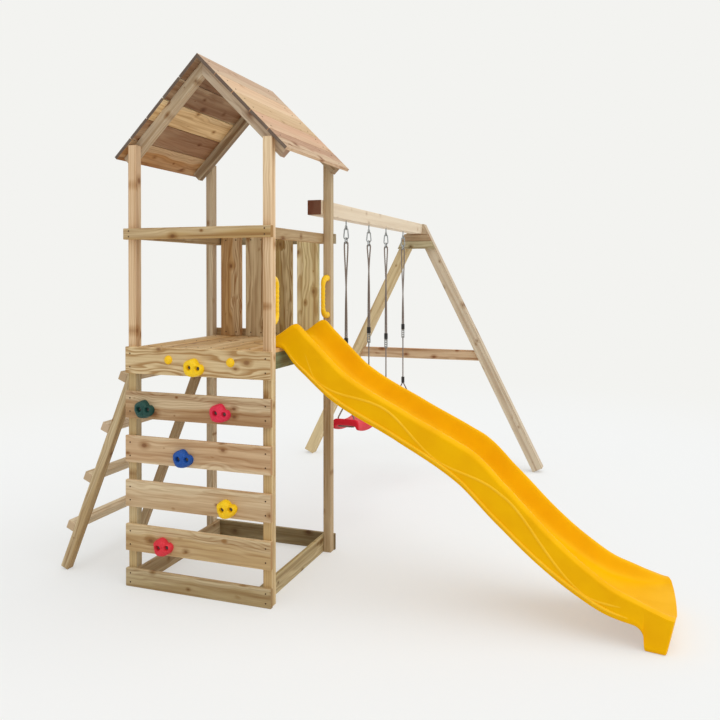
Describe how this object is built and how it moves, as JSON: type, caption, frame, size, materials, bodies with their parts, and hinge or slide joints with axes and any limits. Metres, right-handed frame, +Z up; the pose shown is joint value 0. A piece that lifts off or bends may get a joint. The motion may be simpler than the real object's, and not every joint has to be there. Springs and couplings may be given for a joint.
{
  "type": "wooden climbing frame",
  "caption": "Pine climbing frame: a roofed tower with a climbing wall, a ladder and a yellow wave slide, and a beam on splayed legs with two red swings.",
  "frame": {"origin": "centre of the footprint's box, on the ground", "axes": "+X from the ladder towards the slide, +Y back along the swing beam, +Z up"},
  "size_m": [3.0096, 2.997, 2.6096],
  "materials": {
    "tower_timber": "planed pressure-treated pine, matt, with grain and knots",
    "roof_timber": "thin pine boards of mixed tones, matt",
    "swing_timber": "square pine beams, planed and matt",
    "slide_plastic": "blow-moulded yellow polyethylene, satin",
    "grip_plastic": "moulded yellow plastic, satin",
    "hold_yellow": "gritty moulded resin",
    "hold_green": "gritty moulded resin",
    "hold_pink": "gritty moulded resin",
    "hold_blue": "gritty moulded resin",
    "hold_red": "gritty moulded resin",
    "zinc_steel": "zinc-plated steel, dull",
    "rope": "laid synthetic rope",
    "ferrule_plastic": "black moulded plastic",
    "seat_plastic": "moulded red polyethylene, satin"
  },
  "bodies": {
    "frame": {"post_front_left": "tower_timber", "post_front_right": "tower_timber", "post_back_left": "tower_timber", "post_back_right": "tower_timber", "base_front": "tower_timber", "base_back": "tower_timber", "base_left": "tower_timber", "base_right": "tower_timber", "climb_board_1": "tower_timber", "climb_board_2": "tower_timber", "climb_board_3": "tower_timber", "climb_board_4": "tower_timber", "climb_board_5": "tower_timber", "deck_board_back": "tower_timber", "joist_left": "tower_timber", "joist_right": "tower_timber", "deck_bearers": "tower_timber", "deck_boards": "tower_timber", "guard_rail_front": "tower_timber", "guard_rail_back": "tower_timber", "guard_rail_left": "tower_timber", "guard_rail_right": "tower_timber", "back_panel_boards": "tower_timber", "rafter_front_left": "roof_timber", "rafter_front_right": "roof_timber", "rafter_back_left": "roof_timber", "rafter_back_right": "roof_timber", "roof_boards_left": "roof_timber", "roof_boards_right": "roof_timber", "ladder_rail_front": "tower_timber", "ladder_rail_back": "tower_timber", "ladder_rungs": "tower_timber", "slide": "slide_plastic", "hand_grip_front": "grip_plastic", "hand_grip_back": "grip_plastic", "hold_yellow_top": "hold_yellow", "hold_green": "hold_green", "hold_pink": "hold_pink", "hold_blue": "hold_blue", "hold_yellow_low": "hold_yellow", "hold_red": "hold_red", "hold_bolts": "zinc_steel", "bolt_caps": "grip_plastic", "swing_beam": "swing_timber", "leg_left": "swing_timber", "leg_right": "swing_timber", "leg_cross_bar": "swing_timber", "leg_cleats": "swing_timber", "eye_bolts": "zinc_steel"},
    "swing_1": {"swing_1_hooks": "zinc_steel", "swing_1_ropes": "rope", "swing_1_ferrules": "ferrule_plastic", "swing_1_adjusters": "zinc_steel", "swing_1_seat": "seat_plastic"},
    "swing_2": {"swing_2_hooks": "zinc_steel", "swing_2_ropes": "rope", "swing_2_ferrules": "ferrule_plastic", "swing_2_adjusters": "zinc_steel", "swing_2_seat": "seat_plastic"}
  },
  "joints": [
    {"name": "swing_1_pivot", "type": "hinge", "parent": "frame", "child": "swing_1", "pos_m": [-0.3392, -0.0185, 1.824], "axis": [0, 1, 0], "range_deg": [-65, 65]},
    {"name": "swing_2_pivot", "type": "hinge", "parent": "frame", "child": "swing_2", "pos_m": [-0.3392, 0.7885, 1.824], "axis": [0, 1, 0], "range_deg": [-65, 65]}
  ]
}
